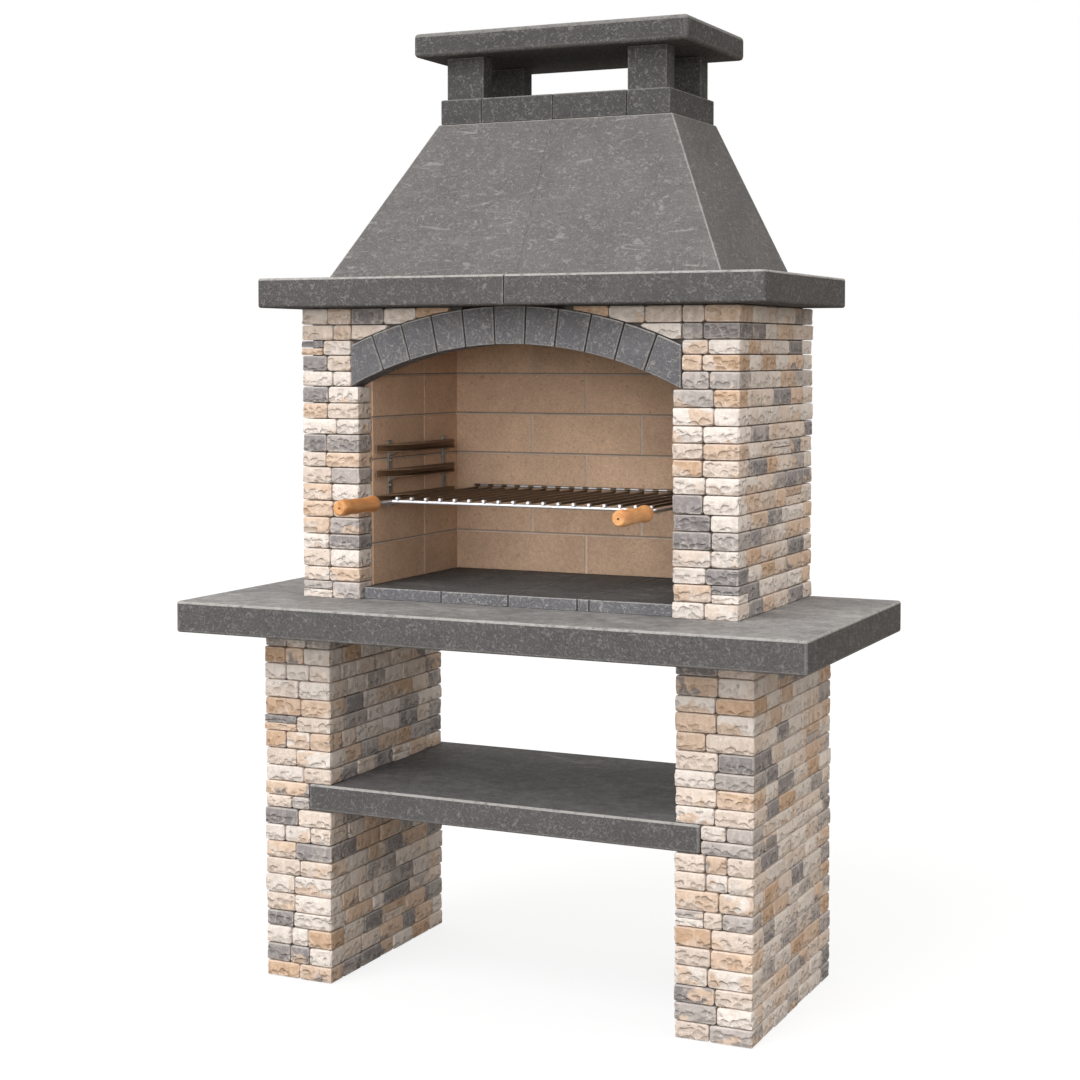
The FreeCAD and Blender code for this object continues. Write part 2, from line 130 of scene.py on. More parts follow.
def colour(name, description, default):
    return FloatVectorProperty(name=name, description=description, default=default, size=3,
                               min=0.0, max=1.0, subtype="COLOR")


class StoneSettings(bpy.types.PropertyGroup):
    """Stone strips of the legs, pillars and spandrels"""

    corner: length("Corner", "Rounding of a strip's corners, seen from the front", 0.0060)
    rim: length("Rim", "Rounding of the tumbled rim of a strip", 0.0034)
    thin: length("Thin", "Height below which a strip is rounded less", 0.024)
    chips: length("Chips", "Depth of the chips in a split face", 0.0014)
    reach: length("Reach", "Depth behind the wall's outside where a face is split", 0.004)
    columns: count("Columns", "Upright cuts across a split face", 3, 8)
    rows: count("Rows", "Level cuts across a split face", 2, 8)
    seed: count("Seed", "Start of the order in which colours are dealt", 11, 999)
    cream: colour("Cream", "Palest strips", srgb(231, 220, 211))
    ivory: colour("Ivory", "Pale warm strips", srgb(224, 207, 193))
    sand: colour("Sand", "Sandy strips", srgb(218, 191, 168))
    ochre: colour("Ochre", "Deep sandy strips", srgb(205, 172, 143))
    ash: colour("Ash", "Pale grey strips", srgb(184, 175, 170))
    slate: colour("Slate", "Grey strips", srgb(148, 142, 141))


class ConcreteSettings(bpy.types.PropertyGroup):
    """Dark cast pieces: slabs, hood, collar, cap, arch and hearth"""

    slab_edge: length("Slab edge", "Rounding of the slabs' edges", 0.006)
    cap_edge: length("Cap edge", "Rounding of the cap's edges", 0.010)
    block_edge: length("Block edge", "Rounding of the smaller castings' edges", 0.003)
    joint: length("Joint", "Distance from the middle that is part of a joint", 0.002)
    groove: length("Groove", "Rounding along the hood's middle joint", 0.0016)
    cast: colour("Cast", "Colour of the slabs", srgb(90, 88, 88))
    # Paler than the cast sides, partly for the smoother trowelled finish and partly as painted
    # light from above
    trowelled: colour("Trowelled", "Colour of the slabs' upper faces", srgb(133, 130, 128))
    # Darker than the slabs' upper faces as painted shade under the worktop
    shelf: colour("Shelf", "Colour of the shelf's upper face", srgb(97, 95, 94))
    collar: colour("Collar", "Colour of the collar, posts and cap", srgb(80, 79, 79))
    hood: colour("Hood", "Colour of the hood", srgb(104, 101, 100))
    arch: colour("Arch", "Colour of the arch and the hearth's edge", srgb(106, 105, 108))
    hearth: colour("Hearth", "Colour of the hearth's upper face", srgb(79, 77, 76))
    pale: colour("Pale", "Colour of the pale threads and worn edges", srgb(186, 182, 178))
    block: colour("Block", "Colour of the blocks inside", srgb(112, 107, 101))


class LiningSettings(bpy.types.PropertyGroup):
    """Firebricks and their mortar"""

    brick_edge: length("Brick edge", "Rounding of the bricks' edges", 0.0012)
    row: length("Row", "Height of a brick with its joint", 0.1)
    joint: length("Joint", "Height of a joint", 0.006)
    seed: count("Seed", "Start of the order in which tones are dealt", 31, 999)
    brick: colour("Brick", "Colour of the firebricks", srgb(213, 179, 151))
    fleck: colour("Fleck", "Colour of the flecks in the firebricks", srgb(118, 92, 72))
    mortar: colour("Mortar", "Colour of the joints", srgb(206, 186, 168))


class SteelSettings(bpy.types.PropertyGroup):
    """Rails, screws, rods and bars"""

    rail_edge: length("Rail edge", "Rounding of the rails' edges", 0.0006)
    rail: colour("Rail", "Colour of the oiled rails", srgb(146, 118, 92))
    zinc: colour("Zinc", "Colour of the uprights and screws", srgb(168, 165, 160))
    chrome: colour("Chrome", "Colour of the plated rods", srgb(226, 226, 228))
    seasoned: colour("Seasoned", "Colour of the bars in use", srgb(106, 90, 74))


class WoodSettings(bpy.types.PropertyGroup):
    """Turned handles"""

    light: colour("Light grain", "Colour of the early wood", srgb(221, 163, 106))
    dark: colour("Dark grain", "Colour of the late wood", srgb(190, 125, 72))


class StageSettings(bpy.types.PropertyGroup):
    """Floor, light and camera"""

    floor_size: length("Floor size", "Side of the floor", 60.0)
    floor_white: colour("Floor", "Colour of the floor", (0.93, 0.93, 0.93))
    floor_glow: share("Glow", "Share of plain white in the floor as it is seen", 0.82)
    floor_bounce: colour("Bounce", "Colour that the floor throws back", (0.18, 0.15, 0.118))
    sky_tint: colour("Sky", "Colour of the light from all around", (1.0, 0.97, 0.93))
    lamp_tint: colour("Lamps", "Colour of the lamps", (0.95, 0.975, 1.0))
    zenith: strength("Zenith", "Light from straight above", 1.2)
    horizon: strength("Horizon", "Light from all around", 0.22)
    right: strength("Right", "More light from the right", 0.5)
    key: strength("Key", "Strength of the high lamp", 1.95)
    fill: strength("Fill", "Strength of the low lamp in front", 1.25)
    front: strength("Front", "Strength of the level lamp in front", 0.5)
    camera_place: FloatVectorProperty(name="Camera", description="Place of the camera", size=3,
                                      default=(1.96706, -4.22251, 1.47577), subtype="TRANSLATION")
    yaw: angle("Yaw", "Turn of the camera from the front", 25.013)
    pitch: angle("Pitch", "Tilt of the camera below level", 2.869)
    lens: strength("Lens", "Focal length in millimetres", 66.44)
    shift: FloatVectorProperty(name="Shift", description="Shift of the picture, as shares of it",
                               size=2, default=(-0.0033, -0.08))


class BarbecueSettings(bpy.types.PropertyGroup):
    """All sizes and colours of the barbecue"""

    stone: PointerProperty(type=StoneSettings)
    concrete: PointerProperty(type=ConcreteSettings)
    lining: PointerProperty(type=LiningSettings)
    steel: PointerProperty(type=SteelSettings)
    wood: PointerProperty(type=WoodSettings)
    stage: PointerProperty(type=StageSettings)


# Shaping pieces

def new_piece(name, mesh):
    """A new object, the only one selected, ready to be shaped."""
    piece = bpy.data.objects.new(name, mesh)
    bpy.context.scene.collection.objects.link(piece)
    choose(piece)
    return piece


def choose(piece):
    bpy.ops.object.select_all(action="DESELECT")
    piece.select_set(True)
    bpy.context.view_layer.objects.active = piece


def copy_of(node, name):
    """The solids of a CAD node as clean flat faces, to be worked further."""
    mesh = frame["nodes"][node].data.copy()
    mesh.name = name
    mesh.materials.clear()
    piece = new_piece(name, mesh)
    bpy.ops.object.mode_set(mode="EDIT")
    bpy.ops.mesh.select_all(action="SELECT")
    bpy.ops.mesh.remove_doubles(threshold=SAME_POINT)
    bpy.ops.mesh.customdata_custom_splitnormals_clear()
    bpy.ops.mesh.dissolve_limited(angle_limit=SAME_SLOPE)
    bpy.ops.object.mode_set(mode="OBJECT")
    return piece


def block(name, low, high):
    """A cube drawn out to a box."""
    bpy.ops.object.select_all(action="DESELECT")
    bpy.ops.mesh.primitive_cube_add(size=1.0, location=(low + high) / 2)
    piece = bpy.context.object
    piece.name = name
    piece.data.name = name
    piece.scale = high - low
    bpy.ops.object.transform_apply(location=True, rotation=True, scale=True)
    return piece


def pick(piece, kind, wanted):
    """Goes into edit mode with only the wanted faces or edges selected."""
    bpy.ops.object.mode_set(mode="EDIT")
    bpy.ops.mesh.select_mode(type=kind)
    bpy.ops.mesh.select_all(action="DESELECT")
    mesh = bmesh.from_edit_mesh(piece.data)
    for element in mesh.faces if kind == "FACE" else mesh.edges:
        if wanted(element):
            element.select_set(True)
    bmesh.update_edit_mesh(piece.data)


def is_sharp(edge):
    return edge.is_manifold and edge.calc_face_angle() > SHARP


def round_edges(piece, width, segments=2, wanted=is_sharp, eased=False):
    """Rounds the wanted edges and marks them as worn, with those eased already if asked."""
    choose(piece)
    two_slots(piece.data)
    pick(piece, "EDGE", wanted)
    bpy.ops.mesh.bevel(offset=width, segments=segments, affect="EDGES", clamp_overlap=True,
                       material=1)
    mark_worn(piece, lower=0.3, eased=eased)
    smooth(piece, degrees=40)
    keep_flat(piece)


def close_joint(piece, wanted):
    """Brings the faces along the middle joint together, since the real joint is filled."""
    pick(piece, "EDGE", wanted)
    bpy.ops.transform.resize(value=(CLOSED, 1.0, 1.0), center_override=(0.0, 0.0, 0.0))
    bpy.ops.object.mode_set(mode="OBJECT")


def two_slots(mesh):
    """Empty slots, so that a bevel can leave its faces in the second one."""
    mesh.materials.clear()
    mesh.materials.append(None)
    mesh.materials.append(None)


def mark_worn(piece, lower, eased=False):
    """Turns the second slot's faces into a measure of wear, less where they don't look up."""
    bpy.ops.object.mode_set(mode="OBJECT")
    mesh = piece.data
    wear = []
    for face in mesh.polygons:
        rounded = face.material_index == 1 or eased and RISING < face.normal.z < NOT_LEVEL
        wear.append(0.0 if not rounded else 1.0 if face.normal.z > RISING else lower)
    mesh.attributes.new("worn", "FLOAT", "FACE").data.foreach_set("value", wear)
    mesh.polygons.foreach_set("material_index", [0] * len(mesh.polygons))


def smooth(piece, degrees):
    choose(piece)
    bpy.ops.object.shade_smooth_by_angle(angle=math.radians(degrees))


def keep_flat(piece):
    """Lets the large faces set the shading, so that only the rounded edges look rounded."""
    bpy.ops.object.modifier_add(type="WEIGHTED_NORMAL")
    piece.modifiers[-1].keep_sharp = True
    bpy.ops.object.modifier_apply(modifier=piece.modifiers[-1].name)


def dress(piece, material, node, top=None):
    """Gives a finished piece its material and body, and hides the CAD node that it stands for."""
    mesh = piece.data
    mesh.materials.clear()
    mesh.materials.append(material)
    if top is not None:
        mesh.materials.append(top)
        for face in mesh.polygons:
            face.material_index = 1 if face.normal.z > UPPER else 0
    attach(piece, "masonry")
    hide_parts(node)


def coat(node, material):
    """Gives a CAD node a finish in place of its plain one."""
    for part in frame["nodes"][node].material_slots:
        part.material = material


def solids_of(mesh):
    """The number of the solid that each vertex belongs to, and how many solids there are."""
    leader = list(range(len(mesh.vertices)))

    def lead(vertex):
        while leader[vertex] != vertex:
            leader[vertex] = leader[leader[vertex]]
            vertex = leader[vertex]
        return vertex

    for edge in mesh.edges:
        first, second = (lead(vertex) for vertex in edge.vertices)
        leader[max(first, second)] = min(first, second)
    numbers = {}
    owners = [numbers.setdefault(lead(vertex), len(numbers)) for vertex in range(len(leader))]
    return owners, len(numbers)


# Finishes

class Nodes:
    """A node tree in the making; each call adds one node and gives back its output."""

    def __init__(self, tree):
        self.tree = tree

    def node(self, kind, **settings):
        made = self.tree.nodes.new(kind)
        for name, value in settings.items():
            setattr(made, name, value)
        return made

    def feed(self, socket, value):
        if isinstance(value, bpy.types.NodeSocket):
            self.tree.links.new(value, socket)
        elif socket.type == "RGBA" and len(value) == 3:
            socket.default_value = (*value, 1.0)
        else:
            socket.default_value = value

    def math(self, operation, first, second=0.0):
        made = self.node("ShaderNodeMath", operation=operation)
        self.feed(made.inputs[0], first)
        self.feed(made.inputs[1], second)
        return made.outputs["Value"]

    def times(self, first, second):
        return self.math("MULTIPLY", first, second)

    def mix(self, amount, first, second):
        made = self.node("ShaderNodeMix", data_type="RGBA")
        self.feed(made.inputs[0], amount)
        self.feed(made.inputs[6], first)
        self.feed(made.inputs[7], second)
        return made.outputs[2]

    def seen(self):
        """1 where a ray is the camera's own or its mirror image, else 0."""
        path = self.node("ShaderNodeLightPath").outputs
        seen = path["Is Camera Ray"]
        for name in ("Is Glossy Ray", "Is Transmission Ray"):
            seen = self.math("MAXIMUM", seen, path[name])
        return seen


class Finish(Nodes):
    """A material in the making."""

    def __init__(self, name, roughness, metallic=0.0, specular=0.5):
        self.material = bpy.data.materials.new(name)
        self.material.use_nodes = True
        super().__init__(self.material.node_tree)
        self.shader = self.tree.nodes["Principled BSDF"]
        self.shader.inputs["Roughness"].default_value = roughness
        self.shader.inputs["Metallic"].default_value = metallic
        self.shader.inputs["Specular IOR Level"].default_value = specular
        self.place = self.node("ShaderNodeTexCoord").outputs["Object"]

    def attribute(self, name, output="Color"):
        return self.node("ShaderNodeAttribute", attribute_name=name).outputs[output]

    def axis(self, name):
        """One of the three distances that make up the place."""
        axes = self.node("ShaderNodeSeparateXYZ")
        self.feed(axes.inputs["Vector"], self.place)
        return axes.outputs[name]

    def stretch(self, scale, turn=(0.0, 0.0, 0.0), place=None):
        mapping = self.node("ShaderNodeMapping")
        self.feed(mapping.inputs["Vector"], place or self.place)
        mapping.inputs["Scale"].default_value = scale
        mapping.inputs["Rotation"].default_value = turn
        return mapping.outputs["Vector"]

    def pushed(self, value, reach=(9.0, -9.0, 9.0), place=None):
        """The place moved by a value; far enough, by default, to look new for each solid."""
        push = self.node("ShaderNodeVectorMath", operation="MULTIPLY_ADD")
        self.feed(push.inputs[0], value)
        push.inputs[1].default_value = reach
        self.feed(push.inputs[2], place or self.place)
        return push.outputs["Vector"]

    def noise(self, scale, detail=3.0, roughness=0.5, distortion=0.0, place=None):
        made = self.node("ShaderNodeTexNoise")
        self.feed(made.inputs["Vector"], place or self.place)
        made.inputs["Scale"].default_value = scale
        made.inputs["Detail"].default_value = detail
        made.inputs["Roughness"].default_value = roughness
        made.inputs["Distortion"].default_value = distortion
        return made.outputs["Fac"]

    def cells(self, scale, feature="F1", place=None):
        made = self.node("ShaderNodeTexVoronoi", feature=feature)
        self.feed(made.inputs["Vector"], place or self.place)
        made.inputs["Scale"].default_value = scale
        return made.outputs["Distance"]

    def span(self, value, low, high, to_low=0.0, to_high=1.0):
        """The value carried smoothly from one range to another, and held at its ends."""
        made = self.node("ShaderNodeMapRange", interpolation_type="SMOOTHSTEP", clamp=True)
        self.feed(made.inputs["Value"], value)
        made.inputs["From Min"].default_value = low
        made.inputs["From Max"].default_value = high
        made.inputs["To Min"].default_value = to_low
        made.inputs["To Max"].default_value = to_high
        return made.outputs["Result"]

    def tone(self, base, value, dark, light, low=0.3, high=0.7):
        """The colour scaled from dark to light as a value goes from low to high."""
        made = self.node("ShaderNodeVectorMath", operation="SCALE")
        self.feed(made.inputs[0], base)
        self.feed(made.inputs["Scale"], self.span(value, low, high, dark, light))
        return made.outputs["Vector"]

    def threads(self, scale, width, distortion=1.2, place=None):
        """Thin curling lines, 1 on the line and 0 off it."""
        field = self.noise(scale, 1.0, 0.5, distortion, place)
        away = self.math("ABSOLUTE", self.math("SUBTRACT", field, 0.5))
        return self.span(away, 0.0, width, 1.0, 0.0)

    def relief(self, *layers):
        """Bumps laid one over the other, each a height and its depth in metres."""
        normal = None
        for height, depth in layers:
            made = self.node("ShaderNodeBump")
            made.inputs["Distance"].default_value = depth
            self.feed(made.inputs["Height"], height)
            if normal is not None:
                self.feed(made.inputs["Normal"], normal)
            normal = made.outputs["Normal"]
        self.feed(self.shader.inputs["Normal"], normal)

    def done(self, base, roughness=None):
        self.feed(self.shader.inputs["Base Color"], base)
        if roughness is not None:
            self.feed(self.shader.inputs["Roughness"], roughness)
        return self.material


def split_stone(stone):
    """Tumbled split-face stone: shells broken out below a wavy ledge, stains and pale rims, with
    painted shade in the shells' hollows and ridges made paler, partly as a painted highlight.
    """
    finish = Finish("split_face_stone", 0.9, specular=0.25)
    own = finish.attribute("stone_colour", "Alpha")
    level = finish.attribute("stone_level", "Fac")
    place = finish.pushed(own)
    grain = finish.noise(260.0, 5.0, 0.65)
    wander = finish.noise(24.0, 3.0, 0.5, 0.0, place)
    slanted = finish.stretch((1.0, 1.0, 0.35), (0.6, 0.6, 0.0), place)
    chisel = finish.noise(80.0, 3.0, 0.55, 0.4, slanted)
    bends = finish.noise(30.0, 3.0, 0.6, 0.0, place)
    bent = finish.stretch((1.0, 1.0, 1.5), place=place)
    bent = finish.pushed(bends, (0.03, 0.03, 0.03), bent)
    shells = finish.cells(50.0, place=bent)
    shells = finish.math("MINIMUM", finish.times(finish.times(shells, shells), 2.4), 1.0)
    ridges = finish.span(finish.cells(50.0, "DISTANCE_TO_EDGE", bent), 0.0, 0.12, 1.0, 0.0)
    ridges = finish.times(ridges, finish.span(chisel, 0.4, 0.6))
    ledge = finish.math("ADD", level, finish.span(shells, 0.0, 1.0, -0.3, 0.3))
    ledge = finish.math("ADD", ledge, finish.span(wander, 0.3, 0.7, -0.4, 0.4))
    ledge = finish.math("ADD", ledge, finish.span(own, 0.0, 1.0, -0.3, 0.5))
    upper = finish.span(ledge, -0.2, 0.25)
    lift = finish.times(upper, finish.math("SUBTRACT", 0.75, finish.times(shells, 0.45)))
    face = finish.math("ADD", finish.times(shells, 0.7), lift)
    stains = finish.noise(12.0, 3.0, 0.5, 0.7, place)
    stains = finish.math("SUBTRACT", stains, finish.times(level, 0.05))
    stains = finish.times(finish.span(stains, 0.56, 0.61), 0.85)
    body = finish.mix(stains, finish.attribute("stone_colour"), finish.attribute("stone_patch"))
    # Painted shade: darker where the relief is low, in the hollows of the shells below the ledge
    body = finish.tone(body, face, 0.84, 1.0, 0.0, 0.9)
    # Paler ridges between the shells: partly the stone's pale broken edges, partly a painted
    # highlight along the ridges
    ridges = finish.times(ridges, finish.span(upper, 0.0, 1.0, 0.4, 0.2))
    body = finish.mix(ridges, body, stone.cream)
    body = finish.tone(body, chisel, 0.9, 1.03)
    body = finish.tone(body, grain, 0.9, 1.06)
    body = finish.mix(finish.times(finish.attribute("worn", "Fac"), 0.3), body, stone.cream)
    finish.relief((face, 0.0042), (chisel, 0.003), (grain, 0.0012))
    return finish.done(body)


def cast_concrete(name, concrete, base, wear=0.7, drawn=1.0, streaks=0.0, hair=0.23):
    """Dark cast concrete full of pale hairs, drawn out sideways or not, with paler worn edges."""
    finish = Finish(name, 0.85, specular=0.05)
    clouds = finish.noise(9.0, 5.0, 0.6)
    blots = finish.noise(38.0, 3.0, 0.5, 0.5)
    grain = finish.noise(240.0, 6.0, 0.75)
    along = finish.stretch((1.0 / drawn, 1.0 / drawn, drawn))
    curls = finish.threads(64.0, 0.05, 0.8, along)
    curls = finish.times(curls, finish.span(blots, 0.44, 0.54))
    wisps = finish.threads(84.0, 0.055, 0.8, along)
    wisps = finish.times(wisps, finish.span(blots, 0.56, 0.46))
    hairs = finish.math("MAXIMUM", curls, wisps)
    body = finish.tone(base, clouds, 0.92, 1.08)
    body = finish.tone(body, grain, 0.76, 1.22, 0.28, 0.72)
    body = finish.mix(finish.times(hairs, hair), body, concrete.pale)
    if streaks:
        smears = finish.noise(30.0, 5.0, 0.65, 0.6, finish.stretch((0.2, 0.5, 1.2)))
        smears = finish.span(smears, 0.56, 0.74)
        lines = finish.threads(12.0, 0.022, 0.5, finish.stretch((0.3, 0.6, 2.4)))
        broken = finish.span(finish.noise(16.0, 3.0, 0.6), 0.54, 0.6, 0.0, 2.0)
        lines = finish.math("MAXIMUM", smears, finish.times(lines, broken))
        body = finish.mix(finish.times(lines, streaks), body, concrete.pale)
    chipped = finish.span(finish.noise(60.0, 4.0, 0.65), 0.3, 0.5, 0.4, 1.0)
    worn = finish.times(finish.attribute("worn", "Fac"), chipped)
    body = finish.mix(finish.times(worn, wear), body, concrete.pale)
    finish.relief((blots, 0.001), (hairs, 0.0008), (grain, 0.0015))
    return finish.done(body, finish.span(grain, 0.2, 0.8, 0.78, 0.92))


def trowelled_concrete(name, concrete, base):
    """The smoother upper face of a casting, mottled, veined and dragged by the trowel."""
    finish = Finish(name, 0.75, specular=0.2)
    clouds = finish.noise(6.0, 5.0, 0.62, 0.8)
    drawn = finish.stretch((0.35, 1.0, 1.0), (0.0, 0.0, 0.3))
    drags = finish.noise(15.0, 6.0, 0.65, 0.9, drawn)
    mottle = finish.noise(44.0, 4.0, 0.6, 0.6)
    grain = finish.noise(190.0, 5.0, 0.7)
    hairs = finish.threads(60.0, 0.03, 2.0)
    veins = finish.threads(11.0, 0.006, 0.8)
    body = finish.tone(base, clouds, 0.82, 1.14, 0.32, 0.68)
    body = finish.tone(body, drags, 0.87, 1.11, 0.34, 0.66)
    body = finish.tone(body, mottle, 0.8, 1.18, 0.32, 0.68)
    body = finish.tone(body, grain, 0.8, 1.18, 0.28, 0.72)
    body = finish.tone(body, veins, 1.0, 0.82, 0.0, 1.0)
    smears = finish.span(clouds, 0.4, 0.65, 0.06, 0.26)
    smears = finish.times(finish.span(drags, 0.56, 0.7), smears)
    pale = finish.math("MAXIMUM", smears, finish.times(hairs, 0.14))
    body = finish.mix(pale, body, concrete.pale)
    finish.relief((drags, 0.0015), (grain, 0.0008))
    return finish.done(body, finish.span(drags, 0.3, 0.7, 0.66, 0.84))


def block_concrete(concrete):
    """Rough blocks behind the cladding."""
    finish = Finish("block_concrete", 0.93)
    grain = finish.noise(160.0, 6.0, 0.7)
    pits = finish.cells(110.0)
    body = finish.tone(concrete.block, grain, 0.75, 1.1)
    finish.relief((grain, 0.002), (pits, 0.0015))
    return finish.done(body)


def firebrick(lining, hearth):
    """Pressed firebrick with small dark flecks, darkened a little by painted shade just above the
    hearth.
    """
    finish = Finish("firebrick", 0.92, specular=0.2)
    own = finish.attribute("brick_tone", "Fac")
    place = finish.pushed(own)
    clouds = finish.noise(11.0, 4.0, 0.55, 0.0, place)
    grain = finish.noise(260.0, 4.0, 0.6)
    mottle = finish.noise(96.0, 3.0, 0.6, 0.4, place)
    flecks = finish.span(finish.noise(150.0, 2.0, 0.5, 1.0, place), 0.62, 0.69)
    scratches = finish.threads(52.0, 0.01, 1.4, place)
    painted_shade_height = 0.26
    body = finish.tone(lining.brick, own, 0.93, 1.04, 0.0, 1.0)
    # Painted shade: the bricks get darker towards the hearth
    body = finish.tone(body, finish.axis("Z"), 0.82, 1.0, hearth, hearth + painted_shade_height)
    body = finish.tone(body, clouds, 0.92, 1.05)
    body = finish.tone(body, grain, 0.9, 1.09)
    body = finish.tone(body, mottle, 0.95, 1.05)
    body = finish.mix(finish.times(flecks, 0.36), body, lining.fleck)
    body = finish.mix(finish.times(scratches, 0.24), body, lining.fleck)
    finish.relief((clouds, 0.001), (grain, 0.0008))
    return finish.done(body)


def sanded_mortar(lining, hearth):
    """Sandy mortar, with a shadow under the bricks along the level joints."""
    finish = Finish("sanded_mortar", 0.95)
    sand = finish.noise(420.0, 4.0, 0.7)
    clouds = finish.noise(24.0, 3.0)
    height = finish.math("SUBTRACT", finish.axis("Z"), hearth)
    row = finish.math("FRACT", finish.math("DIVIDE", height, lining.row))
    body = finish.tone(lining.mortar, sand, 0.82, 1.12)
    body = finish.tone(body, clouds, 0.9, 1.05)
    edge = 1.0 - lining.joint / lining.row
    shadow = 1.0 - 0.5 * lining.joint / lining.row
    body = finish.tone(body, row, 1.0, 0.94, edge - 0.002, edge + 0.002)
    body = finish.tone(body, row, 1.0, 0.5, shadow - 0.004, shadow + 0.004)
    finish.relief((sand, 0.0008))
    return finish.done(body)


def oiled_steel(steel, tip):
    """Rails browned by heat and fat, darkest on the tips of their flanges."""
    finish = Finish("oiled_steel", 0.6, 0.35)
    film = finish.noise(36.0, 5.0, 0.6, 0.4)
    grain = finish.noise(300.0, 3.0, 0.6, 0.0, finish.stretch((1.0, 0.08, 1.0)))
    inside = finish.span(finish.math("ABSOLUTE", finish.axis("X")), tip, tip + 0.006)
    body = finish.tone(steel.rail, film, 0.8, 1.12)
    body = finish.tone(body, grain, 0.9, 1.08)
    body = finish.tone(body, inside, 0.7, 1.0, 0.0, 1.0)
    finish.relief((grain, 0.0002))
    return finish.done(body, finish.span(film, 0.3, 0.7, 0.5, 0.7))


def zinc_plate(steel):
    """Dull zinc with a faint spangle."""
    finish = Finish("zinc_plate", 0.4, 0.85)
    spangle = finish.noise(90.0, 3.0, 0.6, 0.8)
    body = finish.tone(steel.zinc, spangle, 0.78, 1.08)
    finish.relief((spangle, 0.0002))
    return finish.done(body, finish.span(spangle, 0.3, 0.7, 0.3, 0.5))


def plated_rod(steel, name, welds=None):
    """Bright plating with a thin film, smoked brown at the welds of the rear rods, if any."""
    finish = Finish(name, 0.3, 0.9)
    film = finish.noise(60.0, 4.0, 0.6)
    body = finish.tone(steel.chrome, film, 0.84, 1.0)
    if welds:
        first, pitch, rear = welds
        back = finish.axis("Y")
        turn = finish.math("DIVIDE", finish.math("SUBTRACT", finish.axis("X"), first), pitch)
        away = finish.math("SUBTRACT", finish.math("FRACT", turn), 0.5)
        smoke = finish.span(finish.math("ABSOLUTE", away), 0.16, 0.26, 1.0, 0.0)
        smoke = finish.times(smoke, finish.span(back, 0.0, rear))
        body = finish.tone(body, back, 1.0, 0.7, 0.0, rear)
        body = finish.mix(smoke, body, steel.seasoned)
    return finish.done(body, finish.span(film, 0.3, 0.7, 0.34, 0.46))


def seasoned_bars(steel, tips):
    """Bars browned by the fire, with bright front tips: bare metal there, and partly a painted
    highlight on their cut ends.
    """
    finish = Finish("seasoned_bars", 0.4, 0.85)
    film = finish.noise(42.0, 5.0, 0.65, 0.0, finish.stretch((1.0, 0.3, 1.0)))
    bright = finish.span(finish.axis("Y"), tips, tips + 0.012, 1.0, 0.0)
    body = finish.tone(steel.seasoned, film, 0.55, 1.2)
    # Bright front tips: bare metal, and partly a painted highlight on the bars' cut ends
    body = finish.mix(bright, body, steel.chrome)
    finish.relief((film, 0.0002))
    return finish.done(body, finish.span(film, 0.3, 0.7, 0.26, 0.48))


def turned_wood(wood):
    """Varnished wood with its grain along the handle."""
    finish = Finish("turned_wood", 0.42)
    rings = finish.noise(26.0, 4.0, 0.55, 1.2, finish.stretch((1.0, 0.12, 1.0)))
    pores = finish.noise(420.0, 3.0, 0.6, 0.0, finish.stretch((1.0, 0.05, 1.0)))
    body = finish.mix(finish.span(rings, 0.36, 0.66), wood.light, wood.dark)
    body = finish.tone(body, pores, 0.86, 1.04, 0.3, 0.6)
    finish.relief((pores, 0.0003))
    return finish.done(body, finish.span(rings, 0.3, 0.7, 0.36, 0.5))


# Operators, one for each group of like pieces

def settings():
    return bpy.context.scene.barbecue


def nodes_named(start):
    return sorted(name for name in frame["nodes"] if name.startswith(start))


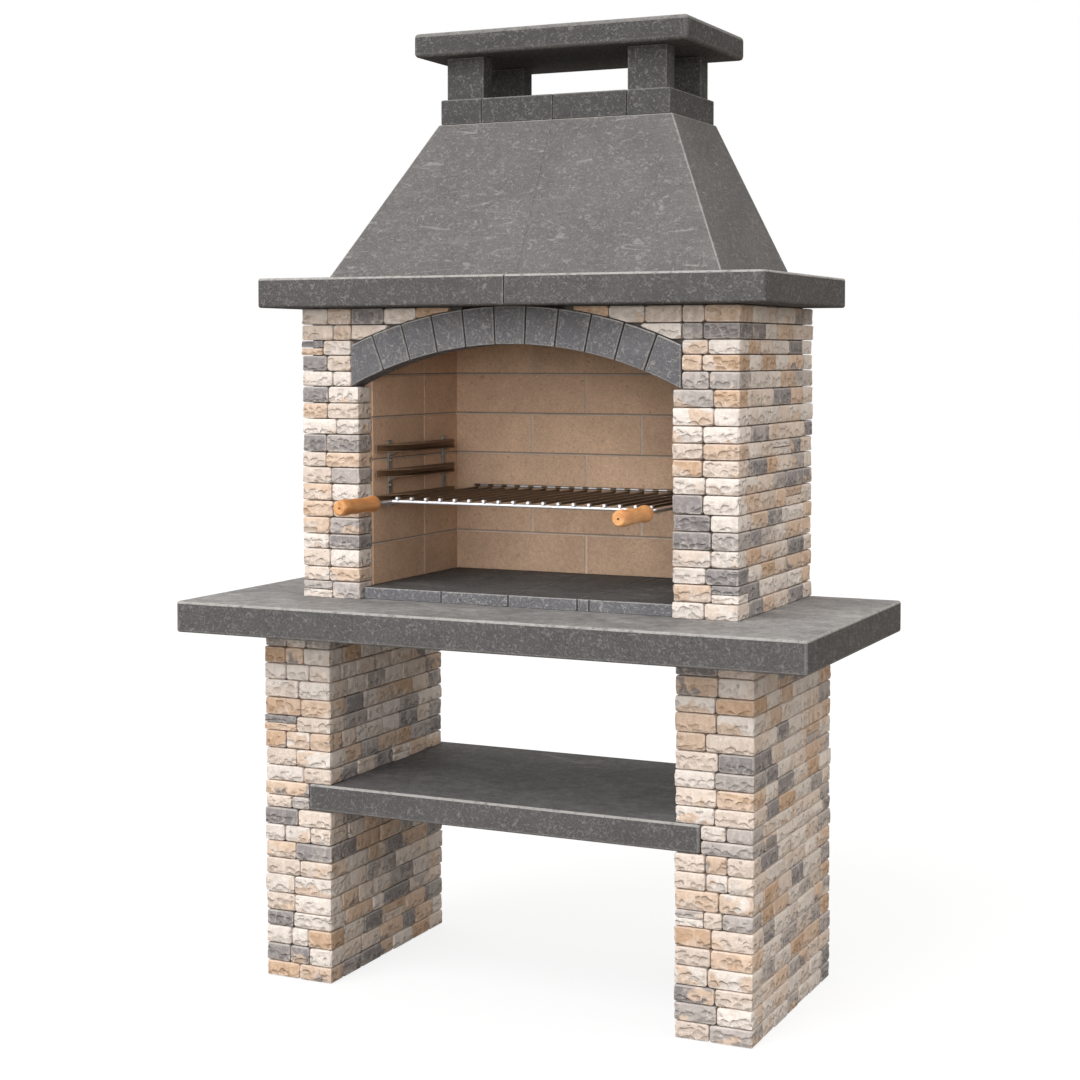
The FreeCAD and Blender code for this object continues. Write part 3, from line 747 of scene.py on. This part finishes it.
class BARBECUE_OT_cladding(bpy.types.Operator):
    """Lay the stone strips with rounded rims, chipped faces and dealt colours"""

    bl_idname = "barbecue.cladding"
    bl_label = "Stone Cladding"
    walls = ("left_leg", "right_leg", "left_pillar", "right_pillar",
             "left_spandrel", "right_spandrel")
    # Share of the rounding that a thin strip gets
    thin_share = 0.4
    # How often each tone is dealt, and the tones that go with it in stained patches
    deck = {"cream": 29, "ivory": 22, "sand": 16, "ochre": 9, "ash": 11, "slate": 13}
    partners = {"cream": ("ivory", "sand"), "ivory": ("sand", "cream"),
                "sand": ("ochre", "ivory", "slate"), "ochre": ("sand", "ivory"),
                "ash": ("slate", "ivory", "sand"), "slate": ("ash", "ash", "sand")}
    # Range within which a strip is made darker or lighter than its tone
    light = (0.9, 1.04)

    def execute(self, context):
        stone = settings().stone
        material = split_stone(stone)
        for number, wall in enumerate(self.walls):
            node = wall + "_stones"
            piece = copy_of(node, wall + "_cladding")
            self.shape(piece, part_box(node), stone, number)
            self.deal_colours(piece.data, stone, number)
            dress(piece, material, node)
        return {"FINISHED"}

    def shape(self, piece, box, stone, number):
        low, high = box

        def is_split(face):
            """A face that looks out of the wall, along one of the two level axes."""
            centre = face.calc_center_median()
            for axis in (0, 1):
                if face.normal[axis] < -OUTWARD and centre[axis] < low[axis] + stone.reach:
                    return True
                if face.normal[axis] > OUTWARD and centre[axis] > high[axis] - stone.reach:
                    return True
            return False

        def on_split_face(edge):
            return any(is_split(face) for face in edge.link_faces)

        def is_rim(edge):
            return is_sharp(edge) and on_split_face(edge)

        def is_corner(edge):
            """An edge that runs back into the wall from a corner of a split face."""
            if not is_sharp(edge) or is_rim(edge):
                return False
            return any(is_split(face) for vertex in edge.verts for face in vertex.link_faces)

        def is_level(edge):
            along = edge.verts[1].co - edge.verts[0].co
            return abs(along.z) < LEVEL * along.length

        pick(piece, "EDGE", lambda edge: on_split_face(edge) and is_level(edge))
        bpy.ops.mesh.subdivide(number_cuts=stone.columns)
        pick(piece, "EDGE", lambda edge: on_split_face(edge) and not is_level(edge))
        bpy.ops.mesh.subdivide(number_cuts=stone.rows)
        two_slots(piece.data)
        for wanted, width, slot in ((is_corner, stone.corner, -1), (is_rim, stone.rim, 1)):
            for thin, part in ((False, 1.0), (True, self.thin_share)):
                thins = self.thins(piece, stone)
                pick(piece, "EDGE",
                     lambda edge: thins[edge.verts[0].index] == thin and wanted(edge))
                bpy.ops.mesh.bevel(offset=width * part, segments=2, affect="EDGES",
                                   clamp_overlap=False, material=slot)
        pick(piece, "FACE", is_split)
        bpy.ops.mesh.select_less()
        bpy.ops.transform.vertex_random(offset=stone.chips, uniform=0.0, normal=1.0,
                                        seed=number + 1)
        mark_worn(piece, lower=0.7)
        smooth(piece, degrees=35)

    def spans(self, mesh, owners, total):
        """The lowest and highest point of each strip."""
        spans = [[math.inf, -math.inf] for _ in range(total)]
        for vertex, owner in zip(mesh.vertices, owners):
            spans[owner][0] = min(spans[owner][0], vertex.co.z)
            spans[owner][1] = max(spans[owner][1], vertex.co.z)
        return spans

    def thins(self, piece, stone):
        """For each vertex, whether it belongs to a thin strip."""
        bpy.ops.object.mode_set(mode="OBJECT")
        owners, total = solids_of(piece.data)
        spans = self.spans(piece.data, owners, total)
        return [spans[owner][1] - spans[owner][0] < stone.thin for owner in owners]

    def deal_colours(self, mesh, stone, number):
        """Deals each strip a tone, and a second one that goes with it for its stained patches."""
        dealer = random.Random(stone.seed + number)
        owners, total = solids_of(mesh)
        layers = {"stone_colour": [], "stone_patch": []}
        for _ in range(total):
            tone = dealer.choices(list(self.deck), list(self.deck.values()))[0]
            patch = dealer.choice(self.partners[tone])
            for layer, chosen in (("stone_colour", tone), ("stone_patch", patch)):
                light = dealer.uniform(*self.light)
                levels = [min(1.0, level * light) for level in getattr(stone, chosen)]
                layers[layer].append(levels + [dealer.random()])
        spans = self.spans(mesh, owners, total)
        rises = []
        for vertex, owner in zip(mesh.vertices, owners):
            low, high = spans[owner]
            rises.append(2 * (vertex.co.z - low) / (high - low) - 1)
        mesh.attributes.new("stone_level", "FLOAT", "POINT").data.foreach_set("value", rises)
        for name, dealt in layers.items():
            values = [level for owner in owners for level in dealt[owner]]
            layer = mesh.color_attributes.new(name, "FLOAT_COLOR", "POINT")
            layer.data.foreach_set("color", values)


class BARBECUE_OT_slabs(bpy.types.Operator):
    """Cast the worktop, lower shelf and mantel"""

    bl_idname = "barbecue.slabs"
    bl_label = "Cast Slabs"

    def execute(self, context):
        concrete = settings().concrete
        sides = cast_concrete("cast_slab", concrete, concrete.cast)
        # The upper faces are paler: partly the trowelled finish, partly painted light from above
        top = trowelled_concrete("trowelled_slab", concrete, concrete.trowelled)
        # The shelf's upper face is darker: painted shade under the worktop
        shaded = trowelled_concrete("trowelled_shelf", concrete, concrete.shelf)
        for node, upper in (("worktop", top), ("lower_shelf", shaded)):
            piece = block(node + "_casting", *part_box(node))
            round_edges(piece, concrete.slab_edge, segments=3)
            dress(piece, sides, node, upper)
        for node in ("mantel_left", "mantel_right"):
            piece = copy_of(node, node + "_casting")
            round_edges(piece, concrete.block_edge, eased=True)
            dress(piece, sides, node, top)
        return {"FINISHED"}


class BARBECUE_OT_chimney(bpy.types.Operator):
    """Cast the hood, the chimney collar, the cap's posts and the cap"""

    bl_idname = "barbecue.chimney"
    bl_label = "Hood and Chimney"

    def execute(self, context):
        concrete = settings().concrete
        middle = sum(corner.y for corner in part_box("collar_front_blocks")) / 2

        def on_joint(edge):
            return all(abs(vertex.co.x) < concrete.joint for vertex in edge.verts)

        def behind_joint(edge):
            return on_joint(edge) and all(vertex.co.y > middle for vertex in edge.verts)

        def on_joint_rim(edge):
            return is_sharp(edge) and on_joint(edge)

        def off_joint(edge):
            return is_sharp(edge) and not on_joint(edge)

        hood = cast_concrete("hood_casting", concrete, concrete.hood,
                             wear=0.4, drawn=1.3, streaks=0.13)
        for node in ("hood_left", "hood_right"):
            piece = copy_of(node, node + "_casting")
            close_joint(piece, on_joint)
            pick(piece, "EDGE", on_joint_rim)
            bpy.ops.mesh.bevel(offset=concrete.groove, affect="EDGES", clamp_overlap=True)
            bpy.ops.object.mode_set(mode="OBJECT")
            round_edges(piece, concrete.block_edge, wanted=off_joint)
            dress(piece, hood, node)
        collar = cast_concrete("collar_casting", concrete, concrete.collar, wear=0.3)
        closed = {"collar_front_blocks": behind_joint, "collar_rear_blocks": on_joint}
        nodes = ["collar_left_end", "collar_right_end", *closed]
        for end in ("front", "rear"):
            nodes += ["cap_post_%s_%s" % (end, side) for side in ("left", "right")]
        for node in nodes:
            piece = copy_of(node, node + "_casting")
            if node in closed:
                close_joint(piece, closed[node])
            round_edges(piece, concrete.block_edge)
            dress(piece, collar, node)
        cap = block("cap_slab_casting", *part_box("cap_slab"))
        round_edges(cap, concrete.cap_edge, segments=3)
        # The cap's upper face is paler: partly the trowelled finish, partly painted light from
        # above
        top = trowelled_concrete("trowelled_cap", concrete, concrete.trowelled)
        dress(cap, collar, "cap_slab", top)
        return {"FINISHED"}


class BARBECUE_OT_arch(bpy.types.Operator):
    """Cut the arch blocks with eased edges"""

    bl_idname = "barbecue.arch"
    bl_label = "Arch"

    def execute(self, context):
        concrete = settings().concrete
        material = cast_concrete("arch_block", concrete, concrete.arch, wear=0.9, hair=0.42)
        for node in nodes_named("voussoir_"):
            piece = copy_of(node, node + "_block")
            round_edges(piece, concrete.block_edge)
            dress(piece, material, node)
        return {"FINISHED"}


class BARBECUE_OT_hearth(bpy.types.Operator):
    """Lay the hearth tiles"""

    bl_idname = "barbecue.hearth"
    bl_label = "Hearth"

    def execute(self, context):
        concrete = settings().concrete
        sides = cast_concrete("hearth_tile", concrete, concrete.arch, wear=0.5, hair=0.42)
        top = trowelled_concrete("hearth_top", concrete, concrete.hearth)
        for node in nodes_named("hearth_"):
            piece = block(node + "_casting", *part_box(node))
            round_edges(piece, concrete.block_edge)
            dress(piece, sides, node, top)
        return {"FINISHED"}


class BARBECUE_OT_lining(bpy.types.Operator):
    """Build the firebrick lining and point its joints"""

    bl_idname = "barbecue.lining"
    bl_label = "Firebrick Lining"

    def execute(self, context):
        lining = settings().lining
        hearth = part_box("back_firebricks")[0].z
        brick = firebrick(lining, hearth)
        mortar = sanded_mortar(lining, hearth)
        for number, wall in enumerate(("back", "left", "right")):
            node = wall + "_firebricks"
            piece = copy_of(node, wall + "_lining")
            round_edges(piece, lining.brick_edge)
            self.tell_apart(piece.data, lining.seed + number)
            dress(piece, brick, node)
            coat(wall + "_mortar", mortar)
        return {"FINISHED"}

    def tell_apart(self, mesh, seed):
        """Gives each brick a tone of its own."""
        dealer = random.Random(seed)
        owners, total = solids_of(mesh)
        tones = [dealer.random() for _ in range(total)]
        layer = mesh.attributes.new("brick_tone", "FLOAT", "POINT")
        layer.data.foreach_set("value", [tones[owner] for owner in owners])


class BARBECUE_OT_cores(bpy.types.Operator):
    """Give the blocks and the plate inside the walls their finish"""

    bl_idname = "barbecue.cores"
    bl_label = "Blocks Inside"

    def execute(self, context):
        concrete = settings().concrete
        material = block_concrete(concrete)
        for side in ("left", "right"):
            for part in ("leg_core", "pillar_core", "spandrel_block"):
                coat("%s_%s" % (side, part), material)
        plate = copy_of("rear_plate", "rear_panels")
        round_edges(plate, concrete.block_edge)
        panel = cast_concrete("rear_panel", concrete, concrete.block, wear=0.5)
        dress(plate, panel, "rear_plate")
        return {"FINISHED"}


class BARBECUE_OT_rails(bpy.types.Operator):
    """Fit the rails, their uprights and screws"""

    bl_idname = "barbecue.rails"
    bl_label = "Grate Rails"

    def execute(self, context):
        steel = settings().steel
        oiled = oiled_steel(steel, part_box("right_rails")[0].x)
        zinc = zinc_plate(steel)
        for node, name, material, slot in (
                ("left_rails", "left_rails_channels", oiled, "dark_steel"),
                ("right_rails", "right_rails_channels", oiled, "dark_steel"),
                ("rail_uprights", "upright_flats", zinc, "bright_steel")):
            piece = copy_of(node, name)
            round_edges(piece, steel.rail_edge)
            dress(piece, material, node)
        coat("rail_screws", zinc)
        return {"FINISHED"}


class BARBECUE_OT_grate(bpy.types.Operator):
    """Finish the grate's plated frame and seasoned bars"""

    bl_idname = "barbecue.grate"
    bl_label = "Grate"
    bars = 18
    # Depth of the part of the grate where the rear rods lie
    rear_depth = 0.05
    # Length of the bars' bright front tips, partly a painted highlight on their cut ends
    bright_tip = 0.004

    def execute(self, context):
        steel = settings().steel
        low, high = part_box("grate_cross_rods")
        welds = (low.x, (high.x - low.x) / self.bars, high.y - self.rear_depth)
        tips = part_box("grate_bars")[0].y + self.bright_tip
        coat("grate_side_rods", plated_rod(steel, "plated_rod"))
        coat("grate_cross_rods", plated_rod(steel, "welded_rod", welds))
        coat("grate_bars", seasoned_bars(steel, tips))
        return {"FINISHED"}


class BARBECUE_OT_handles(bpy.types.Operator):
    """Finish the two wooden handles"""

    bl_idname = "barbecue.handles"
    bl_label = "Wooden Handles"

    def execute(self, context):
        material = turned_wood(settings().wood)
        coat("left_handle", material)
        coat("right_handle", material)
        return {"FINISHED"}


class BARBECUE_OT_stage(bpy.types.Operator):
    """Set the floor, the light and the camera"""

    bl_idname = "barbecue.stage"
    bl_label = "Stage"

    def execute(self, context):
        stage = settings().stage
        self.lay_floor(stage)
        self.light_sky(context, stage)
        for lamp in LAMPS:
            self.hang_lamp(context, stage, *lamp)
        self.place_camera(context, stage)
        context.scene.view_settings.view_transform = "Standard"
        return {"FINISHED"}

    def lay_floor(self, stage):
        bpy.ops.object.select_all(action="DESELECT")
        bpy.ops.mesh.primitive_plane_add(size=stage.floor_size, location=(0.0, 0.0, -FLOOR_DROP))
        floor = bpy.context.object
        floor.name = "floor"
        bpy.ops.object.transform_apply(location=True)
        finish = Finish("pale_floor", 0.95)
        seen = finish.seen()
        floor.data.materials.append(
            finish.done(finish.mix(seen, stage.floor_bounce, stage.floor_white)))
        glow = finish.node("ShaderNodeEmission")
        blend = finish.node("ShaderNodeMixShader")
        finish.feed(blend.inputs[0], finish.times(seen, stage.floor_glow))
        finish.feed(blend.inputs[1], finish.shader.outputs["BSDF"])
        finish.feed(blend.inputs[2], glow.outputs["Emission"])
        output = finish.tree.nodes["Material Output"]
        finish.feed(output.inputs["Surface"], blend.outputs["Shader"])

    def light_sky(self, context, stage):
        """Light that grows upwards and to the right, and plain white where it is seen."""
        world = context.scene.world or bpy.data.worlds.new("sky")
        context.scene.world = world
        world.use_nodes = True
        sky = Nodes(world.node_tree)
        sky.tree.nodes.clear()
        axes = sky.node("ShaderNodeSeparateXYZ")
        sky.feed(axes.inputs["Vector"], sky.node("ShaderNodeTexCoord").outputs["Generated"])
        levels = []
        for axis, low, high in (("Z", stage.horizon, stage.zenith), ("X", 0.0, stage.right)):
            level = sky.node("ShaderNodeMapRange")
            level.inputs["To Min"].default_value = low
            level.inputs["To Max"].default_value = high
            sky.feed(level.inputs["Value"], axes.outputs[axis])
            levels.append(level.outputs["Result"])
        seen = sky.seen()
        power = sky.node("ShaderNodeMix")
        sky.feed(power.inputs[0], seen)
        sky.feed(power.inputs[2], sky.math("ADD", *levels))
        sky.feed(power.inputs[3], 1.0)
        light = sky.node("ShaderNodeBackground")
        sky.feed(light.inputs["Color"], sky.mix(seen, stage.sky_tint, (1.0, 1.0, 1.0)))
        sky.feed(light.inputs["Strength"], power.outputs[0])
        output = sky.node("ShaderNodeOutputWorld")
        sky.feed(output.inputs["Surface"], light.outputs["Background"])

    def hang_lamp(self, context, stage, name, power, spread, tilt, turn):
        data = bpy.data.lights.new(name, "SUN")
        data.energy = getattr(stage, power)
        data.color = stage.lamp_tint
        data.angle = math.radians(spread)
        lamp = bpy.data.objects.new(name, data)
        context.scene.collection.objects.link(lamp)
        lamp.rotation_euler = (math.radians(tilt), 0.0, math.radians(turn))

    def place_camera(self, context, stage):
        data = bpy.data.cameras.new("camera")
        data.lens = stage.lens
        data.shift_x, data.shift_y = stage.shift
        camera = bpy.data.objects.new("camera", data)
        context.scene.collection.objects.link(camera)
        camera.location = stage.camera_place
        camera.rotation_euler = (math.pi / 2 - stage.pitch, 0.0, stage.yaw)
        context.scene.camera = camera


class BARBECUE_PT_sidebar(bpy.types.Panel):
    """Pieces of the barbecue, in building order"""

    bl_label = "Masonry Barbecue"
    bl_idname = "BARBECUE_PT_sidebar"
    bl_space_type = "VIEW_3D"
    bl_region_type = "UI"
    bl_category = "Barbecue"

    def draw(self, context):
        for operator in OPERATORS:
            self.layout.operator(operator.bl_idname)
        for group in ("stone", "concrete", "lining", "steel", "wood", "stage"):
            values = getattr(context.scene.barbecue, group)
            shelf = self.layout.box()
            for name in values.__annotations__:
                shelf.prop(values, name)


SETTINGS = (StoneSettings, ConcreteSettings, LiningSettings, SteelSettings, WoodSettings,
            StageSettings, BarbecueSettings)
OPERATORS = (BARBECUE_OT_cores, BARBECUE_OT_cladding, BARBECUE_OT_slabs, BARBECUE_OT_chimney,
             BARBECUE_OT_arch, BARBECUE_OT_hearth, BARBECUE_OT_lining, BARBECUE_OT_rails,
             BARBECUE_OT_grate, BARBECUE_OT_handles, BARBECUE_OT_stage)


def register():
    for made in SETTINGS + OPERATORS + (BARBECUE_PT_sidebar,):
        bpy.utils.register_class(made)
    bpy.types.Scene.barbecue = PointerProperty(type=BarbecueSettings)


def unregister():
    del bpy.types.Scene.barbecue
    for made in reversed(SETTINGS + OPERATORS + (BARBECUE_PT_sidebar,)):
        bpy.utils.unregister_class(made)


def main():
    register()
    for operator in OPERATORS:
        family, name = operator.bl_idname.split(".")
        getattr(getattr(bpy.ops, family), name)()


if __name__ == "__main__":
    main()
